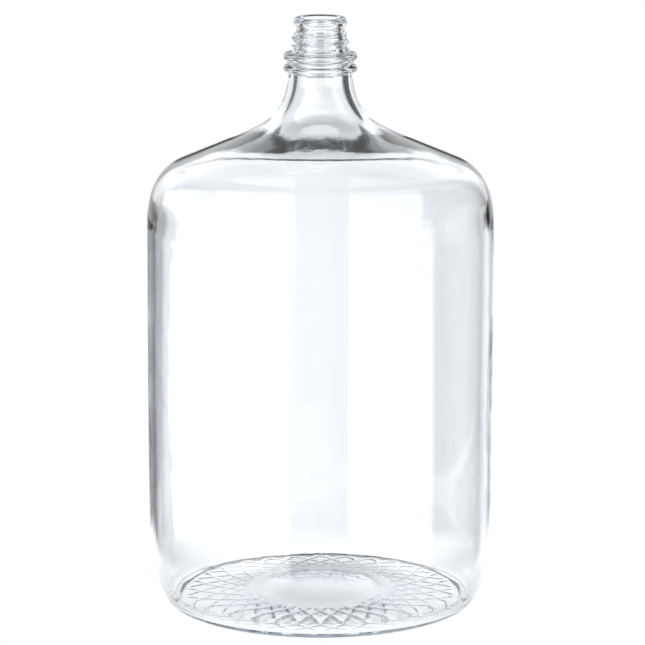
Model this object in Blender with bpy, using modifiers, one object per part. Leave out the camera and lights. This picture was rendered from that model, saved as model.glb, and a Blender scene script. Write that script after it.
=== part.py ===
"""Glass carboy: a one-piece moulded glass bottle for fermenting about five US gallons.

Origin at the centre of the ring it stands on, +Z up through the mouth, metres.
The whole bottle is one wall of glass, so it is one turned shape: the profile runs from the
centre of the inner floor, up the inside, over the lip, down the outside and back to the centre
of the underside. The screw thread is then raised from the turned surface of the finish.

Profile points are (radius, height). A "lead" is the length of a curve's handle.
"""

import math

import bpy

# ---- body and glass thickness ----------------------------------------------------------------
HEIGHT = 0.4710              # standing ring to top of lip
BODY_RADIUS = 0.1380         # straight side, outside
WALL = 0.0058                # straight side and heel
SHOULDER_WALL = 0.0042       # shoulder, where the glass is stretched thinnest
SHOULDER_THINNING = 0.0280   # height over which the wall thins above the straight side
NECK_WALL = 0.0072           # neck below the rings
NECK_THICKENING_Z = 0.3660   # where the wall starts to thicken towards the neck
NECK_THICKENING = 0.0300     # height over which it thickens
FLOOR = 0.0036               # glass at the edge of the floor

# ---- heel and underside ----------------------------------------------------------------------
HEEL_HEIGHT = 0.0744         # where the heel curve meets the straight side
HEEL_INSET = 0.0155          # how far the heel has come in at the ground
RING_OUTER = 0.1200          # flat standing ring
RING_INNER = 0.1155
RING_CORNER = 0.0034         # height of the rounded corner under the heel
KNURL_OUTER = 0.1105         # recessed annulus that carries the grip pattern
KNURL_INNER = 0.0560
KNURL_OUTER_Z = 0.0008       # height of the annulus at its outer and at its inner edge
KNURL_INNER_Z = 0.0040
PUNT_HEIGHT = 0.0095         # push-up in the middle of the underside
PUNT_EDGE_RISE = 0.0009      # rise of the curve's handle at the edge of the push-up

# ---- inside of the floor ---------------------------------------------------------------------
FLOOR_RADIUS = 0.1170        # where the inner floor turns up into the heel
FLOOR_CENTRE_Z = 0.0140
FLOOR_EDGE_Z = KNURL_OUTER_Z + FLOOR
INNER_CORNER_Z = 0.0150      # head of the inner corner
INNER_CORNER_LEAD = 0.0045   # handle at the floor
INNER_CORNER_HANDLE = (0.0012, 0.0042)   # handle at the head: inwards, down

# ---- shoulder, cone and throat ---------------------------------------------------------------
SHOULDER_Z = 0.3042          # top of the straight side
SHOULDER_LEAD = 0.0117
CONE_RADIUS = 0.1137         # lower end of the straight part of the shoulder cone
CONE_Z = 0.3556
CONE_LEAD = 0.0259
CONE_LENGTH = 0.0401
CONE_ANGLE = math.radians(23.1)   # cone from the horizontal
THROAT_LEAD = 0.0225
NECK_Z = 0.4270              # just under the lower ring
NECK_RADIUS = 0.0255
NECK_LEAD = 0.0378

# ---- finish: two rings, thread land, neck, lip bead ------------------------------------------
LOWER_RING_Z = 0.4308
UPPER_RING_Z = 0.4401
RING_ARCS = (                # centre height, first and last angle of the section in degrees
    (UPPER_RING_Z, 100, -72),
    (LOWER_RING_Z, 72, -85),
)
RING_CORE = 0.0256           # radius the rings stand on
RING_RISE = 0.0036           # how far a ring's section stands out
RING_HALF_HEIGHT = 0.0032
THREAD_ROOT = 0.0210
THREAD_LOW = 0.4448          # foot and head of the thread land
THREAD_HIGH = 0.4578
THREAD_ROWS = 16             # rows of faces up the thread land
THREAD_PITCH = 0.0057
THREAD_RISE = 0.0021
THREAD_HALF_WIDTH = 0.0029
THREAD_FIRST_Z = 0.4461      # crest height at angle 0
THREAD_START = math.radians(-50.0)
THREAD_END = math.radians(600.0)
THREAD_FADE = math.radians(50.0)
LIP_NECK_RADIUS = 0.0192
LIP_NECK_LOW = THREAD_HIGH + 0.0018
LIP_Z = 0.4642               # underside of the bead
LIP_NECK_HIGH = LIP_Z - 0.0008
LIP_MID_Z = LIP_Z + 0.45 * (HEIGHT - LIP_Z)   # widest point of the bead
LIP_RADIUS = 0.0214
LIP_FLAT_OUTER = 0.0181      # flat sealing ring on top
LIP_FLAT_INNER = 0.0162

# ---- bore ------------------------------------------------------------------------------------
BORE_RADIUS = 0.0143         # at the mouth, takes a tapered stopper
MOUTH_ROUNDING = 0.0022      # height of the rounded inner edge of the lip
BORE_LAND_Z = 0.4560         # foot of the narrow mouth
BORE_STATIONS = (            # radius, height; from behind the rings up to the mouth
    (0.0183, UPPER_RING_Z - 0.0010),
    (BORE_RADIUS + 0.0012, THREAD_LOW + 0.0020),
    (BORE_RADIUS + 0.0009, BORE_LAND_Z - 0.0015),
    (BORE_RADIUS, BORE_LAND_Z + 0.0015),
)

# ---- mesh ------------------------------------------------------------------------------------
STEPS = 40                   # facets round the bottle
MERGE_DISTANCE = 0.00002     # closes the seam and the two centre points
SHARP_ANGLE = math.radians(40)


# ---- curves ----------------------------------------------------------------------------------
def bezier(start, start_handle, end_handle, end, count):
    """Points of a cubic curve, both ends included."""
    points = []
    for i in range(count + 1):
        t = i / count
        weights = ((1 - t) ** 3, 3 * (1 - t) ** 2 * t, 3 * (1 - t) * t * t, t ** 3)
        controls = (start, start_handle, end_handle, end)
        points.append(tuple(sum(weight * control[axis]
                                for weight, control in zip(weights, controls))
                            for axis in (0, 1)))
    return points


def arc(centre, half_width, half_height, start, end, count):
    """Points of an elliptical arc, both ends included; degrees, 0 outwards and 90 up."""
    points = []
    for i in range(count + 1):
        angle = math.radians(start + (end - start) * i / count)
        points.append((centre[0] + half_width * math.cos(angle),
                       centre[1] + half_height * math.sin(angle)))
    return points


def smooth(x):
    """Eased step from 0 to 1, held outside that range."""
    x = min(1.0, max(0.0, x))
    return x * x * (3 - 2 * x)


def wall_thickness(z):
    """Glass thickness from the straight side up to the neck."""
    thinned = smooth((z - SHOULDER_Z) / SHOULDER_THINNING)
    thickened = smooth((z - NECK_THICKENING_Z) / NECK_THICKENING)
    return (WALL + (SHOULDER_WALL - WALL) * thinned
            + (NECK_WALL - SHOULDER_WALL) * thickened)


def offset_in(points):
    """Moves a downward-running outer curve into the glass by the wall, along its normal."""
    moved = []
    for i, (radius, z) in enumerate(points):
        before = points[max(0, i - 1)]
        after = points[min(len(points) - 1, i + 1)]
        run = after[0] - before[0]
        rise = after[1] - before[1]
        scale = wall_thickness(z) / math.hypot(run, rise)
        moved.append((radius + rise * scale, z - run * scale))
    return moved


def heel_point(z, depth_in_glass=0.0):
    """Point of the heel at a height, on the outside or a fixed distance inside it."""
    drop = (HEEL_HEIGHT - z) / HEEL_HEIGHT
    return (BODY_RADIUS - depth_in_glass - HEEL_INSET * drop ** 3, z)


# ---- outside, top to bottom ------------------------------------------------------------------
def lip_profile():
    """Bead of the lip and the short neck under it."""
    centre = (LIP_FLAT_OUTER, LIP_MID_Z)
    bead_width = LIP_RADIUS - LIP_FLAT_OUTER
    points = arc(centre, bead_width, HEIGHT - LIP_MID_Z, start=90, end=0, count=4)
    points += arc(centre, bead_width, LIP_MID_Z - LIP_Z, start=0, end=-75, count=3)[1:]
    return points + [(LIP_NECK_RADIUS, LIP_NECK_HIGH), (LIP_NECK_RADIUS, LIP_NECK_LOW)]


def thread_land_profile():
    return [(THREAD_ROOT, THREAD_HIGH + (THREAD_LOW - THREAD_HIGH) * i / THREAD_ROWS)
            for i in range(THREAD_ROWS + 1)]


def rings_profile():
    points = []
    for ring_z, start, end in RING_ARCS:
        points += arc((RING_CORE, ring_z), RING_RISE, RING_HALF_HEIGHT, start, end, count=6)
    return points


def cone_point(distance):
    """Point on the line of the cone, measured outwards and down from its lower end."""
    return (CONE_RADIUS + distance * math.cos(CONE_ANGLE),
            CONE_Z - distance * math.sin(CONE_ANGLE))


def shoulder_profile():
    """Neck, throat, cone and shoulder, from under the lower ring down to the straight side."""
    throat = bezier((NECK_RADIUS, NECK_Z), (NECK_RADIUS, NECK_Z - NECK_LEAD),
                    cone_point(-CONE_LENGTH - THROAT_LEAD), cone_point(-CONE_LENGTH), count=10)
    shoulder = bezier(cone_point(0.0), cone_point(CONE_LEAD),
                      (BODY_RADIUS, SHOULDER_Z + SHOULDER_LEAD), (BODY_RADIUS, SHOULDER_Z),
                      count=8)
    return throat + shoulder


def heel_profile():
    """Heel, then the rounded corner down to the outer edge of the standing ring."""
    count = 7
    points = [heel_point(HEEL_HEIGHT + (RING_CORNER - HEEL_HEIGHT) * i / count)
              for i in range(1, count + 1)]
    foot = points[-1]
    foot_handle = (foot[0] - 0.35 * RING_CORNER, foot[1] - 0.6 * RING_CORNER)
    ring_handle = (RING_OUTER + 0.5 * RING_CORNER, 0.0)
    return points + bezier(foot, foot_handle, ring_handle, (RING_OUTER, 0.0), count=3)[1:]


def underside_profile():
    """Inner edge of the standing ring, grip annulus and push-up, in to the centre."""
    push_up = bezier((KNURL_INNER, KNURL_INNER_Z),
                     (KNURL_INNER * 0.75, KNURL_INNER_Z + PUNT_EDGE_RISE),
                     (KNURL_INNER * 0.45, PUNT_HEIGHT), (0.0, PUNT_HEIGHT), count=5)
    return [(RING_INNER, 0.0), (KNURL_OUTER, KNURL_OUTER_Z)] + push_up


def outer_profile():
    return (lip_profile() + thread_land_profile() + rings_profile()
            + shoulder_profile() + heel_profile() + underside_profile())


# ---- inside, bottom to top -------------------------------------------------------------------
def inner_floor_profile():
    """Domed floor and the corner where it turns up into the heel."""
    edge = (FLOOR_RADIUS, FLOOR_EDGE_Z)
    floor = bezier((0.0, FLOOR_CENTRE_Z), (FLOOR_RADIUS * 0.40, FLOOR_CENTRE_Z),
                   (FLOOR_RADIUS * 0.62, FLOOR_EDGE_Z), edge, count=7)
    head = heel_point(INNER_CORNER_Z, WALL)
    head_handle = (head[0] - INNER_CORNER_HANDLE[0], head[1] - INNER_CORNER_HANDLE[1])
    corner = bezier(edge, (FLOOR_RADIUS + INNER_CORNER_LEAD, FLOOR_EDGE_Z),
                    head_handle, head, count=5)
    # The floor curve and the bezier above share the centre and edge points once each.
    return [floor[0]] + floor[1:] + corner[1:]


def inner_heel_profile():
    count = 4
    return [heel_point(INNER_CORNER_Z + (HEEL_HEIGHT - INNER_CORNER_Z) * i / count, WALL)
            for i in range(1, count + 1)]


def bore_profile():
    """Bore from behind the rings to the flat top of the lip."""
    mouth = arc((LIP_FLAT_INNER, HEIGHT - MOUTH_ROUNDING), LIP_FLAT_INNER - BORE_RADIUS,
                MOUTH_ROUNDING, start=180, end=90, count=3)
    return list(BORE_STATIONS) + mouth


def inner_profile():
    return (inner_floor_profile() + inner_heel_profile()
            + offset_in(shoulder_profile())[::-1] + bore_profile())


# ---- modelling -------------------------------------------------------------------------------
def glass_material(name):
    material = bpy.data.materials.new(name)
    material.use_nodes = True
    inputs = material.node_tree.nodes["Principled BSDF"].inputs
    inputs["Base Color"].default_value = (0.90, 0.95, 0.96, 1.0)
    inputs["Roughness"].default_value = 0.02
    inputs["Metallic"].default_value = 0.0
    inputs["IOR"].default_value = 1.52
    inputs["Transmission Weight"].default_value = 1.0
    return material


def turned(name, profile, collection):
    """A profile in the XZ plane, turned about Z with a Screw modifier that is then baked."""
    mesh = bpy.data.meshes.new(name + "_profile")
    mesh.from_pydata([(radius, 0.0, z) for radius, z in profile],
                     [(i, i + 1) for i in range(len(profile) - 1)], [])
    outline = bpy.data.objects.new(name + "_profile", mesh)
    collection.objects.link(outline)
    screw = outline.modifiers.new("Turn", "SCREW")
    screw.axis = "Z"
    screw.angle = 2 * math.pi
    screw.steps = STEPS
    screw.render_steps = STEPS
    screw.use_merge_vertices = True
    screw.merge_threshold = MERGE_DISTANCE
    bpy.context.view_layer.update()
    depsgraph = bpy.context.evaluated_depsgraph_get()
    solid = bpy.data.meshes.new_from_object(outline.evaluated_get(depsgraph))
    solid.name = name
    bpy.data.objects.remove(outline)
    made = bpy.data.objects.new(name, solid)
    collection.objects.link(made)
    return made


def thread_rise(angle, z):
    """Height of the right-hand thread above its root at an angle and a height."""
    highest = 0.0
    turn = angle % (2 * math.pi) - 2 * math.pi
    while turn <= THREAD_END:
        crest_z = THREAD_FIRST_Z + THREAD_PITCH * turn / (2 * math.pi)
        across = (z - crest_z) / THREAD_HALF_WIDTH
        if turn >= THREAD_START and abs(across) < 1:
            fade = (smooth((turn - THREAD_START) / THREAD_FADE)
                    * smooth((THREAD_END - turn) / THREAD_FADE))
            rise = THREAD_RISE * 0.5 * (1 + math.cos(math.pi * across)) * fade
            highest = max(highest, rise)
        turn += 2 * math.pi
    return highest


def raise_thread(bottle):
    """Pushes the vertices of the thread land outwards into the thread."""
    for vertex in bottle.data.vertices:
        x, y, z = vertex.co
        radius = math.hypot(x, y)
        on_land = THREAD_LOW - 1e-6 < z < THREAD_HIGH + 1e-6
        if on_land and abs(radius - THREAD_ROOT) < 1e-5:
            factor = (radius + thread_rise(math.atan2(y, x), z)) / radius
            vertex.co.x = x * factor
            vertex.co.y = y * factor


def build_carboy():
    parts = bpy.data.collections.new("glass_carboy_parts")
    bpy.context.scene.collection.children.link(parts)
    bottle = turned("glass_carboy", inner_profile() + outer_profile(), parts)
    raise_thread(bottle)
    bottle.data.materials.append(glass_material("clear_flint_glass"))
    bottle.data.shade_smooth()
    bottle.data.set_sharp_from_angle(angle=SHARP_ANGLE)


for old in list(bpy.data.objects):
    bpy.data.objects.remove(old)

build_carboy()
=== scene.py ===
"""A clear glass carboy with a screw-thread neck and a gripping pattern under its base.

Metres. The bottle stands upright, +Z up, with the origin at the centre of its standing ring.
The camera looks along +Y, tilted down, and the light surround turns with the camera.
"""
import math

import bpy
import numpy as np
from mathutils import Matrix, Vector


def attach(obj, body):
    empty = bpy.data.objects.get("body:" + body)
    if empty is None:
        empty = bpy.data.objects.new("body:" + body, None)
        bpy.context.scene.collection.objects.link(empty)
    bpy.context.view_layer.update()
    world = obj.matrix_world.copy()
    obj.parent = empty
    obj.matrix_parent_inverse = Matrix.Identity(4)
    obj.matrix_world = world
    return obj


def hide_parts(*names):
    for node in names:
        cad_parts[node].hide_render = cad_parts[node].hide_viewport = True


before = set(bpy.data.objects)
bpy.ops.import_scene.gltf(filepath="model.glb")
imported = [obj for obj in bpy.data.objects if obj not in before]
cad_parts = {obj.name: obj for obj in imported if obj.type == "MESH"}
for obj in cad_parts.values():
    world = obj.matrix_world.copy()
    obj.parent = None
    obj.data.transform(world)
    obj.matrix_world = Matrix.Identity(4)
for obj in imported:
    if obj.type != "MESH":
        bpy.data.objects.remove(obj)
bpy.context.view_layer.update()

# ------------------------------------------------------------------------------------------
# Dimensions. A LEAD is the length of a Bezier handle.
# ------------------------------------------------------------------------------------------
HEIGHT = 0.4710
BODY_RADIUS = 0.1380
WALL = 0.0058
SHOULDER_WALL = 0.0042
NECK_WALL = 0.0072
FLOOR_WALL = 0.0036

# heel, standing ring and underside
HEEL_HEIGHT = 0.0744
HEEL_INSET = 0.0155
STAND_OUTER = 0.1200
STAND_INNER = 0.1155
STAND_CORNER = 0.0034
STAND_LEAD = 0.0012
KNURL_OUTER = 0.1105
KNURL_INNER = 0.0560
KNURL_Z = 0.0008
KNURL_INNER_Z = 0.0040
KNURL_LEAD = 0.0016
PUNT_HEIGHT = 0.0095
PUNT_LEAD_RISE = 0.0009

# inside of the floor and heel
FLOOR_RADIUS = 0.1170
FLOOR_CENTRE_Z = 0.0140
FLOOR_LEAD = 0.0045
INNER_CORNER_Z = 0.0150
INNER_CORNER_LEAD = (0.0012, 0.0042)    # inwards, downwards
INNER_SIDE_DROP = 0.010                 # the inner side ends this far below the shoulder

# shoulder, cone and throat
SHOULDER_Z = 0.3042
SHOULDER_LEAD = 0.0117
SHOULDER_THINNING = 0.028               # height over which the wall thins above the side
CONE_RADIUS = 0.1137                    # lower edge of the straight cone
CONE_Z = 0.3556
CONE_LEAD = 0.0259
CONE_LENGTH = 0.0401
CONE_ANGLE = math.radians(23.1)         # fall of the cone below level
THROAT_LEAD = 0.0225
THROAT_Z = 0.3660                       # the glass thickens from here towards the neck,
THROAT_RISE = 0.0300                    # over this height
NECK_Z = 0.4270
NECK_RADIUS = 0.0255
NECK_LEAD = 0.0378

# two rounded collars below the thread
COLLAR_LOW_Z, COLLAR_HIGH_Z = 0.4308, 0.4401
COLLAR_CORE = 0.0256
COLLAR_RISE = 0.0036
COLLAR_HALF_HEIGHT = 0.0032

THREAD_ROOT = 0.0210
THREAD_LOW = 0.4448
THREAD_HIGH = 0.4578
THREAD_PITCH = 0.0057
THREAD_RISE = 0.0021
THREAD_HALF_WIDTH = 0.0029
THREAD_FIRST_Z = 0.4461
THREAD_BLEND = 0.0022                   # height of the step from the thread root to the neck
THREAD_LEAD = 0.0010

LIP_NECK_RADIUS = 0.0192
LIP_Z = 0.4642
LIP_RADIUS = 0.0214
LIP_MID_SHARE = 0.45                    # height of the widest place, as a share of the bead
LIP_UNDERCUT = 0.0016                   # the neck runs straight from this far below the lip
LIP_FLAT_OUTER = 0.0181
LIP_FLAT_INNER = 0.0162
LIP_INNER_HEIGHT = 0.0022

BORE_RADIUS = 0.0143
BORE_LAND_Z = 0.4560
BORE_LAND_LEAD = 0.0015
BORE_WIDER_LOW = 0.0012                 # extra radius below the land, at its foot and head
BORE_WIDER_HIGH = 0.0009
BORE_LOW_RADIUS = 0.0183

AROUND = 192                            # columns round the bottle
AROUND_BASE = 512                       # columns round the gripping pattern
KNURL_STARTS = 30                       # ribs of each hand in the gripping pattern
KNURL_TWIST = 0.77                      # angle a rib turns for each e-fold of radius
KNURL_RISE = 0.0008
KNURL_WIDTH = 0.0015
KNURL_INNER_SHARE = 1.25                # share of the rise at the inner and outer edges
KNURL_OUTER_SHARE = 0.5

UNEVEN = 0.0009                         # shoulder is this much thicker on +Y, thinner on -Y
ROUND_WAVE = 0.00028                    # out-of-round waves shared by inside and outside
INNER_WAVE = 0.00028                    # slow waves of the inner side
INNER_RIPPLE = 0.00007                  # finer waves of the inner side
FLOOR_WAVE = 0.00025
OUTER_WAVE = 0.00005

# where a detail is present: start, length of fade-in, end, length of fade-out
THREAD_BAND = (math.radians(-50.0), math.radians(50.0),
               math.radians(600.0), math.radians(50.0))             # by angle
ROUND_BAND = (0.02, 0.05, 0.33, 0.05)                               # by height
UNEVEN_BAND = (0.315, 0.02, 0.385, 0.02)                            # by height
INNER_BAND = (0.03, 0.05, 0.345, 0.03)                              # by height
OUTER_BAND = (0.012, 0.02, 0.40, 0.03)                              # by height
FLOOR_BAND = (0.02, 0.03, FLOOR_RADIUS + 0.004, 0.02)               # by radius
FLOOR_BAND_TOP = 0.03                                               # and only below this height
KNURL_BAND = (KNURL_INNER + 0.001, 0.005, KNURL_OUTER - 0.0005, 0.004)  # by radius


# ------------------------------------------------------------------------------------------
# Profiles: lists of (radius, height)
# ------------------------------------------------------------------------------------------
def smooth(x):
    x = np.clip(x, 0.0, 1.0)
    return x * x * (3 - 2 * x)


def band(x, start, fade_in, end, fade_out):
    return smooth((x - start) / fade_in) * smooth((end - x) / fade_out)


def bezier(start, start_handle, end_handle, end, count, keep_start=False):
    points = []
    for i in range(0 if keep_start else 1, count + 1):
        t = i / count
        weights = ((1 - t) ** 3, 3 * (1 - t) ** 2 * t, 3 * (1 - t) * t * t, t ** 3)
        corners = (start, start_handle, end_handle, end)
        points.append(tuple(sum(weight * corner[axis] for weight, corner in zip(weights, corners))
                            for axis in (0, 1)))
    return points


def line(start, end, count):
    return [(start[0] + (end[0] - start[0]) * i / count, start[1] + (end[1] - start[1]) * i / count)
            for i in range(1, count + 1)]


def arc(centre, radius_r, radius_z, start, end, count, keep_start=False):
    """Part of an ellipse; start and end in degrees from straight outwards."""
    points = []
    for i in range(0 if keep_start else 1, count + 1):
        angle = math.radians(start + (end - start) * i / count)
        points.append((centre[0] + radius_r * math.cos(angle),
                       centre[1] + radius_z * math.sin(angle)))
    return points


def heel(radius, start_z, end_z, count, keep_start=False):
    """The heel of a side of the given radius, drawn in by a cubic."""
    points = []
    for i in range(0 if keep_start else 1, count + 1):
        z = start_z + (end_z - start_z) * i / count
        points.append((radius - HEEL_INSET * ((HEEL_HEIGHT - z) / HEEL_HEIGHT) ** 3, z))
    return points


def shoulder_curve():
    """Outside of the throat, cone and shoulder, from the neck down to the straight side."""
    out_r, out_z = math.cos(CONE_ANGLE), -math.sin(CONE_ANGLE)
    foot = (CONE_RADIUS, CONE_Z)
    top = (CONE_RADIUS - CONE_LENGTH * out_r, CONE_Z - CONE_LENGTH * out_z)
    points = bezier((NECK_RADIUS, NECK_Z), (NECK_RADIUS, NECK_Z - NECK_LEAD),
                    (top[0] - THROAT_LEAD * out_r, top[1] - THROAT_LEAD * out_z), top,
                    count=18, keep_start=True)
    points += line(top, foot, count=12)
    points += bezier(foot, (foot[0] + CONE_LEAD * out_r, foot[1] + CONE_LEAD * out_z),
                     (BODY_RADIUS, SHOULDER_Z + SHOULDER_LEAD), (BODY_RADIUS, SHOULDER_Z),
                     count=44)
    return points


def shoulder_thickness(z):
    return (WALL + (SHOULDER_WALL - WALL) * float(smooth((z - SHOULDER_Z) / SHOULDER_THINNING))
            + (NECK_WALL - SHOULDER_WALL) * float(smooth((z - THROAT_Z) / THROAT_RISE)))


def offset_in(points, thickness):
    """Moves a downward-running outline into the bottle by thickness(z)."""
    moved = []
    for i, (r, z) in enumerate(points):
        before = points[max(0, i - 1)]
        after = points[min(len(points) - 1, i + 1)]
        dr, dz = after[0] - before[0], after[1] - before[1]
        length = math.hypot(dr, dz)
        moved.append((r + dz / length * thickness(z), z - dr / length * thickness(z)))
    return moved


def outer_profile():
    """Outside, from the lip down to the edge of the gripping pattern."""
    # rounded lip
    middle = (LIP_FLAT_OUTER, LIP_Z + LIP_MID_SHARE * (HEIGHT - LIP_Z))
    width = LIP_RADIUS - LIP_FLAT_OUTER
    points = arc(middle, width, HEIGHT - middle[1], 90, 0, count=8, keep_start=True)
    points += arc(middle, width, middle[1] - LIP_Z, 0, -75, count=5)
    bead_z = points[-1][1]
    points += bezier(points[-1], (LIP_NECK_RADIUS + 0.0001, bead_z - 0.0003),
                     (LIP_NECK_RADIUS, bead_z - 0.0008),
                     (LIP_NECK_RADIUS, LIP_Z - LIP_UNDERCUT), count=3)
    # neck and the land that carries the thread
    points += line(points[-1], (LIP_NECK_RADIUS, THREAD_HIGH + THREAD_BLEND), count=2)
    points += bezier(points[-1], (LIP_NECK_RADIUS, THREAD_HIGH + THREAD_LEAD),
                     (THREAD_ROOT, THREAD_HIGH + THREAD_LEAD), (THREAD_ROOT, THREAD_HIGH), count=4)
    points += line(points[-1], (THREAD_ROOT, THREAD_LOW), count=32)
    for z, start, end in ((COLLAR_HIGH_Z, 104, -76), (COLLAR_LOW_Z, 76, -88)):
        points += arc((COLLAR_CORE, z), COLLAR_RISE, COLLAR_HALF_HEIGHT, start, end,
                      count=13, keep_start=True)
    # shoulder, side and heel
    points += shoulder_curve()
    points += line(points[-1], (BODY_RADIUS, HEEL_HEIGHT), count=12)
    points += heel(BODY_RADIUS, HEEL_HEIGHT, STAND_CORNER, count=14)
    # standing ring
    foot_r, foot_z = points[-1]
    points += bezier(points[-1], (foot_r - 0.35 * STAND_CORNER, foot_z - 0.6 * STAND_CORNER),
                     (STAND_OUTER + 0.5 * STAND_CORNER, 0.0), (STAND_OUTER, 0.0), count=5)
    points += line(points[-1], (STAND_INNER, 0.0), count=1)
    points += bezier(points[-1], (STAND_INNER - STAND_LEAD, 0.0),
                     (KNURL_OUTER + KNURL_LEAD, KNURL_Z), (KNURL_OUTER, KNURL_Z), count=4)
    return points


def knurl_profile():
    return line((KNURL_OUTER, KNURL_Z), (KNURL_INNER, KNURL_INNER_Z), count=54)


def punt_profile():
    """Push-up in the middle of the underside, ending at the centre."""
    return bezier((KNURL_INNER, KNURL_INNER_Z),
                  (KNURL_INNER * 0.75, KNURL_INNER_Z + PUNT_LEAD_RISE),
                  (KNURL_INNER * 0.45, PUNT_HEIGHT), (0.0, PUNT_HEIGHT), count=12)


def inner_profile():
    """Inside, from the centre of the floor up to the lip."""
    # floor, corner and heel
    floor_z = KNURL_Z + FLOOR_WALL
    points = bezier((0.0, FLOOR_CENTRE_Z), (FLOOR_RADIUS * 0.40, FLOOR_CENTRE_Z),
                    (FLOOR_RADIUS * 0.62, floor_z), (FLOOR_RADIUS, floor_z),
                    count=20, keep_start=True)
    side_radius = BODY_RADIUS - WALL
    inner_heel = heel(side_radius, INNER_CORNER_Z, HEEL_HEIGHT, count=12, keep_start=True)
    corner = inner_heel[0]
    points += bezier((FLOOR_RADIUS, floor_z), (FLOOR_RADIUS + FLOOR_LEAD, floor_z),
                     (corner[0] - INNER_CORNER_LEAD[0], corner[1] - INNER_CORNER_LEAD[1]), corner,
                     count=12)
    points += inner_heel[1:]
    # side and shoulder
    points += line(points[-1], (side_radius, SHOULDER_Z - INNER_SIDE_DROP), count=12)
    points += list(reversed(offset_in(shoulder_curve(), shoulder_thickness)))
    # bore: wide behind the collars, narrower behind the thread, narrowest at the land
    points += bezier(points[-1], (BORE_LOW_RADIUS, points[-1][1] + 0.004),
                     (BORE_LOW_RADIUS, COLLAR_HIGH_Z - 0.006),
                     (BORE_LOW_RADIUS, COLLAR_HIGH_Z - 0.002), count=4)
    thread_bore = BORE_RADIUS + BORE_WIDER_LOW
    points += bezier(points[-1], (BORE_LOW_RADIUS, COLLAR_HIGH_Z + 0.0015),
                     (thread_bore, THREAD_LOW - 0.0015), (thread_bore, THREAD_LOW + 0.0020),
                     count=5)
    land_foot = BORE_RADIUS + BORE_WIDER_HIGH
    points += line(points[-1], (land_foot, BORE_LAND_Z - BORE_LAND_LEAD), count=3)
    points += bezier(points[-1], (land_foot, BORE_LAND_Z), (BORE_RADIUS, BORE_LAND_Z),
                     (BORE_RADIUS, BORE_LAND_Z + BORE_LAND_LEAD), count=3)
    points += line(points[-1], (BORE_RADIUS, HEIGHT - LIP_INNER_HEIGHT), count=3)
    points += arc((LIP_FLAT_INNER, HEIGHT - LIP_INNER_HEIGHT), LIP_FLAT_INNER - BORE_RADIUS,
                  LIP_INNER_HEIGHT, 180, 90, count=5)
    return points


# ------------------------------------------------------------------------------------------
# Surface detail: thread, waves, gripping pattern
# ------------------------------------------------------------------------------------------
def thread_rise(angle, z):
    best = np.zeros_like(angle)
    for turn in range(-1, 3):
        total = np.mod(angle, 2 * math.pi) + 2 * math.pi * turn
        crest_z = THREAD_FIRST_Z + THREAD_PITCH * total / (2 * math.pi)
        across = np.clip((z - crest_z) / THREAD_HALF_WIDTH, -1, 1)
        rise = THREAD_RISE * 0.5 * (1 + np.cos(math.pi * across)) * band(total, *THREAD_BAND)
        best = np.maximum(best, rise)
    return best


def waves(angle, along, seed, count, max_lobes, max_rate):
    """Smooth ripple of about unit height, closed round the bottle. Each wave has up to max_lobes
    lobes round it and turns by up to max_rate radians per metre along."""
    rng = np.random.RandomState(seed)
    total = np.zeros_like(angle)
    for _ in range(count):
        lobes = rng.randint(1, max_lobes + 1)
        rate = rng.uniform(-max_rate, max_rate)
        height = rng.uniform(0.4, 1.0)
        phase = rng.uniform(0, 2 * math.pi)
        total += height * np.cos(lobes * angle + rate * along + phase)
    return total / math.sqrt(count)


def out_of_round(angle, z):
    """Slow unevenness that the inside and the outside of the wall share."""
    ripple = waves(angle, z, seed=21, count=9, max_lobes=6, max_rate=26.0)
    return band(z, *ROUND_BAND) * ROUND_WAVE * ripple


def knurl(angle, r):
    """Two hands of fine ribs crossing into diamonds; they fade out at both edges of the band."""
    spiral = KNURL_TWIST * np.log(r / KNURL_INNER)
    rise = np.zeros_like(angle)
    pitch = 2 * math.pi / KNURL_STARTS
    for hand in (-1, 1):
        phase = (angle + hand * spiral) / pitch
        across = (phase - np.round(phase)) * pitch * r / math.hypot(1.0, KNURL_TWIST)
        rise = np.maximum(rise, np.exp(-(across / KNURL_WIDTH) ** 2))
    outwards = (r - KNURL_INNER) / (KNURL_OUTER - KNURL_INNER)
    share = KNURL_INNER_SHARE - (KNURL_INNER_SHARE - KNURL_OUTER_SHARE) * outwards
    return KNURL_RISE * rise * band(r, *KNURL_BAND) * share


def push_in(r, z, amount):
    """Moves rows of an upward-running inner surface towards the inside, along their normals."""
    dr, dz = np.zeros_like(r), np.zeros_like(z)
    dr[1:-1], dz[1:-1] = r[2:] - r[:-2], z[2:] - z[:-2]
    length = np.hypot(dr, dz) + 1e-12
    r -= amount * dz / length
    z += amount * dr / length


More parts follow.
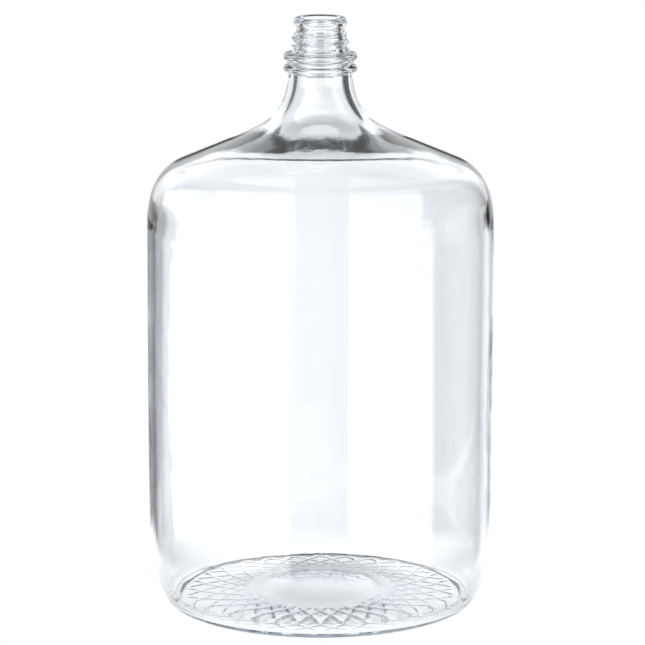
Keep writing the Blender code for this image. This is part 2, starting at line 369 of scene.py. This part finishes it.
# ------------------------------------------------------------------------------------------
# Bottle mesh
# ------------------------------------------------------------------------------------------
class Shell:
    """Collects vertices and faces. A ring is named by the index of its first vertex."""

    def __init__(self):
        self.verts = []
        self.faces = []

    def add_point(self, z):
        """Adds a point on the axis."""
        self.verts.append((0.0, 0.0, z))
        return len(self.verts) - 1

    def add_rings(self, angle, r, z):
        start = len(self.verts)
        points = np.stack([r * np.cos(angle), r * np.sin(angle), z], axis=-1).reshape(-1, 3)
        self.verts.extend(tuple(point) for point in points)
        rows, around = angle.shape
        return [start + row * around for row in range(rows)]

    def grid(self, rings, around):
        for ring, following in zip(rings, rings[1:]):
            for i in range(around):
                k = (i + 1) % around
                self.faces.append((ring + i, following + i, following + k, ring + k))

    def stitch(self, upper, upper_count, lower, lower_count):
        """Joins two rings with different numbers of columns by triangles."""
        i = j = 0
        while i < upper_count or j < lower_count:
            here, below = upper + i % upper_count, lower + j % lower_count
            if j >= lower_count or (i < upper_count
                                    and (i + 1) * lower_count <= (j + 1) * upper_count):
                i += 1
                self.faces.append((here, below, upper + i % upper_count))
            else:
                j += 1
                self.faces.append((here, below, lower + j % lower_count))


def rings_of(profile, around):
    """Angle, radius and height of a turned profile: a row per point, a column per step round."""
    angle = np.arange(around) * 2 * math.pi / around
    r = np.array([point[0] for point in profile])[:, None] * np.ones((1, around))
    z = np.array([point[1] for point in profile])[:, None] * np.ones((1, around))
    return angle[None, :] * np.ones((len(profile), 1)), r, z


def add_inside(shell):
    profile = inner_profile()
    centre = shell.add_point(profile[0][1])
    angle, r, z = rings_of(profile[1:], AROUND)
    push_in(r, z, UNEVEN * np.sin(angle) * band(z, *UNEVEN_BAND))
    side = band(z, *INNER_BAND)
    r -= out_of_round(angle, z)
    r -= side * (INNER_WAVE * waves(angle, z, seed=3, count=7, max_lobes=3, max_rate=14.0)
                 + INNER_RIPPLE * waves(angle, z, seed=5, count=8, max_lobes=9, max_rate=60.0))
    floor_share = band(r, *FLOOR_BAND) * (z < FLOOR_BAND_TOP)
    z += floor_share * FLOOR_WAVE * waves(angle, r, seed=8, count=8, max_lobes=5, max_rate=90.0)
    rings = shell.add_rings(angle, r, z)
    for i in range(AROUND):
        shell.faces.append((centre, rings[0] + i, rings[0] + (i + 1) % AROUND))
    shell.grid(rings, AROUND)
    return rings


def add_outside(shell):
    angle, r, z = rings_of(outer_profile(), AROUND)
    slack = 1e-7
    land = ((np.abs(r - THREAD_ROOT) < slack)
            & (z <= THREAD_HIGH + slack) & (z >= THREAD_LOW - slack))
    r += np.where(land, thread_rise(angle, z), 0.0)
    ripple = 1 + waves(angle, z, seed=11, count=7, max_lobes=4, max_rate=30.0)
    r -= band(z, *OUTER_BAND) * OUTER_WAVE * ripple + out_of_round(angle, z)
    rings = shell.add_rings(angle, r, z)
    shell.grid(rings, AROUND)
    return rings


def add_knurl(shell):
    angle, r, z = rings_of(knurl_profile(), AROUND_BASE)
    z -= knurl(angle, r)
    rings = shell.add_rings(angle, r, z)
    shell.grid(rings, AROUND_BASE)
    return rings


def add_punt(shell, edge):
    profile = punt_profile()
    rings = shell.add_rings(*rings_of(profile[:-1], AROUND))
    shell.stitch(edge, AROUND_BASE, rings[0], AROUND)
    shell.grid(rings, AROUND)
    centre = shell.add_point(profile[-1][1])
    for i in range(AROUND):
        shell.faces.append((rings[-1] + i, centre, rings[-1] + (i + 1) % AROUND))


def bottle_mesh(name):
    shell = Shell()
    inside = add_inside(shell)
    outside = add_outside(shell)
    shell.grid([inside[-1], outside[0]], AROUND)    # flat top of the lip
    pattern = add_knurl(shell)
    shell.stitch(outside[-1], AROUND, pattern[0], AROUND_BASE)
    add_punt(shell, pattern[-1])

    made = bpy.data.meshes.new(name)
    made.from_pydata(shell.verts, [], shell.faces)
    made.validate()
    made.update()
    return made


# ------------------------------------------------------------------------------------------
# Node helpers
# ------------------------------------------------------------------------------------------
def feed(tree, socket, value):
    """Links a socket to another, or sets its value."""
    if isinstance(value, bpy.types.NodeSocket):
        tree.links.new(value, socket)
    else:
        socket.default_value = value


def node(tree, kind, *inputs, **named):
    """Adds a node. Named values are its properties or, with _ for a space, its inputs; the
    others fill its inputs in order."""
    made = tree.nodes.new(kind)
    for name, value in named.items():
        if hasattr(made, name):
            setattr(made, name, value)
        else:
            feed(tree, made.inputs[name.replace("_", " ")], value)
    for i, value in enumerate(inputs):
        feed(tree, made.inputs[i], value)
    return made


def maths(tree, operation, *inputs):
    return node(tree, "ShaderNodeMath", *inputs, operation=operation).outputs["Value"]


def in_degrees(tree, radians):
    return maths(tree, "MULTIPLY", radians, 180 / math.pi)


def dot(tree, first, second):
    made = node(tree, "ShaderNodeVectorMath", first, second, operation="DOT_PRODUCT")
    return made.outputs["Value"]


def ramp(tree, stops, source):
    """A level by source; stops are (value, level), joined by straight lines."""
    low, high = stops[0][0], stops[-1][0]
    top = max(level for _, level in stops)
    scale = node(tree, "ShaderNodeMapRange", From_Min=low, From_Max=high, Value=source)
    made = node(tree, "ShaderNodeFloatCurve", Value=scale.outputs["Result"])
    curve = made.mapping.curves[0]
    points = [((value - low) / (high - low), level / top) for value, level in stops]
    curve.points[0].location = points[0]
    curve.points[-1].location = points[-1]
    for point in points[1:-1]:
        curve.points.new(*point)
    for point in curve.points:
        point.handle_type = "VECTOR"
    made.mapping.update()
    return maths(tree, "MULTIPLY", made.outputs["Value"], top)


def ramp_product(tree, first_stops, first, second_stops, second):
    return maths(tree, "MULTIPLY", ramp(tree, first_stops, first),
                 ramp(tree, second_stops, second))


def cut_out(tree, level, hole):
    return maths(tree, "MULTIPLY", level, maths(tree, "SUBTRACT", 1.0, hole))


def camera_vector(tree, vector):
    """A direction in the camera's axes, turned into world axes."""
    return node(tree, "ShaderNodeVectorTransform", vector_type="VECTOR", convert_from="CAMERA",
                convert_to="WORLD", Vector=vector).outputs["Vector"]


def camera_axes(tree):
    """The camera's right, the level direction it looks along, and up, in world axes."""
    right = camera_vector(tree, (1.0, 0.0, 0.0))
    up = node(tree, "ShaderNodeCombineXYZ", Z=1.0).outputs["Vector"]
    ahead = node(tree, "ShaderNodeVectorMath", up, right, operation="CROSS_PRODUCT")
    return right, ahead.outputs["Vector"], up


# ------------------------------------------------------------------------------------------
# Glass
# ------------------------------------------------------------------------------------------
def glass_material():
    material = bpy.data.materials.new("flint_glass")
    material.use_nodes = True
    tree = material.node_tree
    shader = tree.nodes["Principled BSDF"]
    coords = node(tree, "ShaderNodeTexCoord").outputs["Object"]

    # faint unevenness of the tint: streaks drawn out along the height
    stretch = node(tree, "ShaderNodeMapping", Vector=coords, Scale=(9.0, 9.0, 2.5))
    streak = node(tree, "ShaderNodeTexNoise", Vector=stretch.outputs["Vector"],
                  Scale=1.6, Detail=3.0, Roughness=0.5)
    tint = node(tree, "ShaderNodeValToRGB", Fac=streak.outputs["Fac"])
    stops = ((0.3, (0.976, 0.984, 0.992, 1.0)), (0.7, (0.988, 0.994, 1.0, 1.0)))
    for element, (position, color) in zip(tint.color_ramp.elements, stops):
        element.position = position
        element.color = color

    # nearly perfect polish, a little softer in patches
    patch = node(tree, "ShaderNodeTexNoise", Vector=coords, Scale=14.0, Detail=2.0, Roughness=0.5)
    rough = node(tree, "ShaderNodeMapRange", Value=patch.outputs["Fac"],
                 From_Min=0.35, From_Max=0.75, To_Min=0.0, To_Max=0.012)

    # moulded skin: slow dimples and finer orange peel
    slow = node(tree, "ShaderNodeTexNoise", Vector=coords, Scale=22.0, Detail=2.0, Roughness=0.45)
    fine = node(tree, "ShaderNodeTexNoise", Vector=coords, Scale=160.0, Detail=2.0, Roughness=0.5)
    bump_slow = node(tree, "ShaderNodeBump", Height=slow.outputs["Fac"],
                     Strength=0.10, Distance=0.002)
    bump_fine = node(tree, "ShaderNodeBump", Height=fine.outputs["Fac"],
                     Normal=bump_slow.outputs["Normal"], Strength=0.03, Distance=0.0004)

    for name, value in (("Base Color", tint.outputs["Color"]),
                        ("Roughness", rough.outputs["Result"]),
                        ("Normal", bump_fine.outputs["Normal"]),
                        ("Transmission Weight", 1.0),
                        ("IOR", 1.52)):
        feed(tree, shader.inputs[name], value)

    # the blue-green that shows only through a thickness of glass
    body = node(tree, "ShaderNodeVolumeAbsorption", Color=(0.66, 0.80, 0.90, 1.0), Density=3.0)
    feed(tree, tree.nodes["Material Output"].inputs["Volume"], body.outputs["Volume"])
    return material


mesh = bottle_mesh("glass_bottle")
bottle = bpy.data.objects.new("glass_bottle", mesh)
bpy.context.scene.collection.objects.link(bottle)
mesh.shade_smooth()
mesh.materials.append(glass_material())
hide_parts("glass_carboy")
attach(bottle, "root")

# ------------------------------------------------------------------------------------------
# Studio surround. SIDES: (degrees to the right of straight behind the bottle, level), with the
# camera at 180. The rest: (degrees above the line of sight, level), but ROOM is above level.
# ------------------------------------------------------------------------------------------
LIGHT = (0.955, 0.978, 1.0, 1.0)
WHITE = (1.0, 1.0, 1.0, 1.0)
# lit sheet behind the bottle, in four bands of height that meet
SHEET_SIDES = [
    (-180, 0.0), (-60, 0.0), (-45, 0.12), (-28, 0.18), (-14, 0.56), (-9.5, 1.12), (-8.0, 1.2),
    (-7.4, 1.95), (-6, 1.8), (-4, 1.35), (-2, 1.12), (-0.5, 1.08), (0.6, 1.08), (2.0, 0.97),
    (4, 0.95), (6, 1.10), (9, 1.20), (12, 1.10), (18, 0.5), (24, 0.45), (28, 1.0), (38, 1.0),
    (44, 0.1), (60, 0.0), (180, 0.0)]
SHEET_MIDDLE = [(-90, 0.0), (-12, 0.0), (-9, 1.0), (3.0, 1.0), (3.5, 0.0), (90, 0.0)]
SHEET_SIDES_HIGH = [
    (-180, 0.0), (-75, 0.1), (-60, 0.1), (-46, 0.1), (-36, 0.8), (-25, 0.95), (-9, 1.05),
    (9, 1.05), (24, 1.0), (28, 0.7), (31, 0.1), (36, 0.02), (75, 0.02), (90, 0.2), (120, 0.2),
    (180, 0.0)]
SHEET_HIGH = [(-90, 0.0), (3.0, 0.0), (3.5, 1.0), (14, 1.0), (18, 1.0), (23, 1.5), (35, 1.5),
              (46, 0.8), (62, 0.3), (90, 0.15)]
SHEET_SIDES_LOW = [(-180, 0.0), (-90, 0.1), (-65, 0.7), (-30, 1.0), (20, 1.0), (35, 0.6),
                   (60, 0.2), (90, 0.1), (180, 0.0)]
SHEET_LOW = [(-90, 0.0), (-21, 0.0), (-18, 0.95), (-12, 0.95), (-9, 0.0), (90, 0.0)]
SHEET_SIDES_DEEP = [
    (-180, 0.0), (-90, 0.1), (-65, 0.3), (-45, 0.55), (-30, 1.0), (-17, 1.0), (-12, 0.0),
    (12, 0.0), (17, 1.0), (30, 0.7), (45, 0.35), (60, 0.2), (90, 0.1), (180, 0.0)]
SHEET_DEEP = [(-90, 0.1), (-55, 0.3), (-38, 0.75), (-21, 0.95), (-18, 0.0), (90, 0.0)]
# dark slot cut out of the high band
SLOT_SIDES = [(-180, 0.0), (-9.5, 0.0), (-7.0, 1.0), (7.0, 1.0), (9.5, 0.0), (180, 0.0)]
SLOT_HEIGHT = [(-90, 0.0), (11.0, 0.0), (11.8, 0.8), (12.4, 1.0), (14.5, 1.0), (16.5, 0.93),
               (20, 0.80), (24, 0.55), (28, 0.35), (38, 0.0), (90, 0.0)]
# two tall softboxes on the camera's side
BOX_SIDES = [(-180, 0.3), (-160.5, 0.3), (-158.5, 2.6), (-103, 2.6), (-100.5, 0.0), (98, 0.0),
             (100.5, 2.6), (160, 2.6), (162, 0.3), (180, 0.3)]
BOX_HEIGHT = [(-90, 0.0), (-13, 0.0), (-8, 1.0), (14, 1.0), (19, 0.0), (90, 0.0)]
# dim room
ROOM_HEIGHT = [(-90, 0.05), (0, 0.05), (30, 0.03), (90, 0.03)]


def studio_world():
    """Plain white seen directly; the studio in reflections and through the glass."""
    world = bpy.data.worlds.new("studio")
    bpy.context.scene.world = world
    world.use_nodes = True
    tree = world.node_tree
    tree.nodes.clear()
    direction = node(tree, "ShaderNodeTexCoord").outputs["Generated"]
    right, ahead, up = camera_axes(tree)
    x, y, z = (dot(tree, direction, axis) for axis in (right, ahead, up))
    camera_top = camera_vector(tree, (0.0, 1.0, 0.0))
    tilt = in_degrees(tree, maths(tree, "ARCSINE", dot(tree, camera_top, ahead)))
    azimuth = in_degrees(tree, maths(tree, "ARCTAN2", x, y))
    elevation = in_degrees(tree, maths(tree, "ARCSINE", z))
    above = maths(tree, "ADD", elevation, tilt)

    def area(sides, heights):
        return ramp_product(tree, sides, azimuth, heights, above)

    middle = area(SHEET_SIDES, SHEET_MIDDLE)
    high = cut_out(tree, area(SHEET_SIDES_HIGH, SHEET_HIGH), area(SLOT_SIDES, SLOT_HEIGHT))
    low = maths(tree, "ADD", area(SHEET_SIDES_LOW, SHEET_LOW), area(SHEET_SIDES_DEEP, SHEET_DEEP))
    level = maths(tree, "ADD", maths(tree, "ADD", middle, high), low)
    for extra in (area(BOX_SIDES, BOX_HEIGHT), ramp(tree, ROOM_HEIGHT, elevation)):
        level = maths(tree, "ADD", level, extra)

    paths = node(tree, "ShaderNodeLightPath")
    lit = node(tree, "ShaderNodeBackground", Color=LIGHT, Strength=level)
    seen = node(tree, "ShaderNodeBackground", Color=WHITE)
    mix = node(tree, "ShaderNodeMixShader", paths.outputs["Is Camera Ray"],
               lit.outputs["Background"], seen.outputs["Background"])
    node(tree, "ShaderNodeOutputWorld", Surface=mix.outputs["Shader"])


# ------------------------------------------------------------------------------------------
# Table, seen through the glass as a patch of painted light and painted shade. Stops are
# (metres, level); ACROSS runs to the camera's right, ALONG and BACK away from the camera, both
# from the bottle's axis.
# ------------------------------------------------------------------------------------------
TABLE_RADIUS = 6.0
TABLE_Z = -0.0004
TABLE_SIDES = 96
# painted shade and light by distance from the axis: painted shade under the middle of the
# bottle, lighter further out
TABLE_PAINTED_SHADE = [(0.0, 0.80), (0.03, 0.77), (0.05, 0.85), (0.065, 0.98), (0.08, 1.05),
               (0.115, 1.1), (0.135, 0.96), (0.17, 0.92), (0.5, 0.84)]
# painted light, a little brighter behind the bottle, with a soft painted shade in front of the axis
TABLE_PAINTED_BACK = [(-1.0, 1.0), (-0.09, 1.0), (-0.055, 0.82), (-0.03, 0.84), (0.02, 1.0),
              (0.10, 1.28), (0.16, 1.45), (1.0, 1.45)]
# reach of the patch of painted light
TABLE_ACROSS = [(-1.0, 0.0), (-0.245, 0.0), (-0.20, 1.0), (0.19, 1.0), (0.24, 0.0), (1.0, 0.0)]
TABLE_ALONG = [(-1.0, 0.0), (-0.42, 0.0), (-0.36, 1.0), (0.45, 1.0), (0.60, 0.0), (1.0, 0.0)]
# gap in the patch straight behind the bottle
GAP_ACROSS = [(-1.0, 0.0), (-0.19, 0.0), (-0.155, 1.0), (0.155, 1.0), (0.19, 0.0), (1.0, 0.0)]
GAP_ALONG = [(-1.0, 0.0), (0.16, 0.0), (0.21, 1.0), (1.0, 1.0)]
# gap in front of the bottle, to the left
NEAR_ACROSS = [(-1.0, 1.0), (-0.05, 1.0), (-0.02, 0.0), (1.0, 0.0)]
NEAR_ALONG = [(-1.0, 1.0), (-0.19, 1.0), (-0.155, 0.0), (1.0, 0.0)]


def table_material():
    """Plain white seen directly; through the glass a glowing patch of painted light and painted
    shade, and clear beyond the patch.
    """
    material = bpy.data.materials.new("pale_floor")
    material.use_nodes = True
    tree = material.node_tree
    tree.nodes.clear()
    where = node(tree, "ShaderNodeNewGeometry").outputs["Position"]
    right, ahead, _ = camera_axes(tree)
    across = dot(tree, where, right)
    along = dot(tree, where, ahead)
    distance = maths(tree, "SQRT", maths(tree, "ADD", maths(tree, "MULTIPLY", across, across),
                                         maths(tree, "MULTIPLY", along, along)))

    def area(across_stops, along_stops):
        return ramp_product(tree, across_stops, across, along_stops, along)

    # painted shade under the bottle and painted light around it, by distance and by side
    shade = ramp_product(tree, TABLE_PAINTED_SHADE, distance, TABLE_PAINTED_BACK, along)
    patch = cut_out(tree, area(TABLE_ACROSS, TABLE_ALONG), area(GAP_ACROSS, GAP_ALONG))
    patch = cut_out(tree, patch, area(NEAR_ACROSS, NEAR_ALONG))

    paths = node(tree, "ShaderNodeLightPath")
    clear = node(tree, "ShaderNodeBsdfTransparent")
    # the patch glows with painted light; the table takes no real light or shadow
    glow = node(tree, "ShaderNodeEmission", Color=LIGHT, Strength=shade)
    lit = node(tree, "ShaderNodeMixShader", patch, clear.outputs["BSDF"],
               glow.outputs["Emission"])
    seen = node(tree, "ShaderNodeEmission", Color=WHITE)
    mix = node(tree, "ShaderNodeMixShader", paths.outputs["Is Camera Ray"],
               lit.outputs["Shader"], seen.outputs["Emission"])
    node(tree, "ShaderNodeOutputMaterial", Surface=mix.outputs["Shader"])
    return material


def studio_table():
    """A round disc just below the standing ring."""
    disc = bpy.data.meshes.new("studio_floor")
    verts = [(0.0, 0.0, TABLE_Z)]
    for i in range(TABLE_SIDES):
        angle = 2 * math.pi * i / TABLE_SIDES
        verts.append((TABLE_RADIUS * math.cos(angle), TABLE_RADIUS * math.sin(angle), TABLE_Z))
    disc.from_pydata(verts, [], [(0, 1 + i, 1 + (i + 1) % TABLE_SIDES)
                                 for i in range(TABLE_SIDES)])
    made = bpy.data.objects.new("studio_floor", disc)
    bpy.context.scene.collection.objects.link(made)
    disc.materials.append(table_material())
    made.visible_diffuse = False
    made.visible_shadow = False


studio_world()
studio_table()

# ------------------------------------------------------------------------------------------
# Camera and render
# ------------------------------------------------------------------------------------------
CAMERA_TILT = math.radians(12.0)
CAMERA_DISTANCE = 3.1013
CAMERA_AIM = Vector((0.0, 0.0, 0.2258))
SENSOR_WIDTH = 36.0         # millimetres, as is the lens
LENS = 216.853953
SHIFT_X = 0.00325581        # share of the picture's width


def add_camera():
    data = bpy.data.cameras.new("camera")
    data.sensor_width = SENSOR_WIDTH
    data.lens = LENS
    data.shift_x = SHIFT_X
    data.clip_start, data.clip_end = 0.05, 50.0
    camera = bpy.data.objects.new("camera", data)
    bpy.context.scene.collection.objects.link(camera)
    sight = Vector((0.0, math.cos(CAMERA_TILT), -math.sin(CAMERA_TILT)))
    camera.location = CAMERA_AIM - sight * CAMERA_DISTANCE
    camera.rotation_mode = "QUATERNION"
    camera.rotation_quaternion = sight.to_track_quat("-Z", "Y")
    bpy.context.scene.camera = camera


add_camera()
scene = bpy.context.scene
scene.view_settings.view_transform = "Standard"
scene.view_settings.look = "None"
scene.cycles.max_bounces = 24
scene.cycles.transmission_bounces = 24
scene.cycles.glossy_bounces = 16
scene.cycles.transparent_max_bounces = 24
scene.cycles.use_denoising = True

bpy.context.view_layer.update()
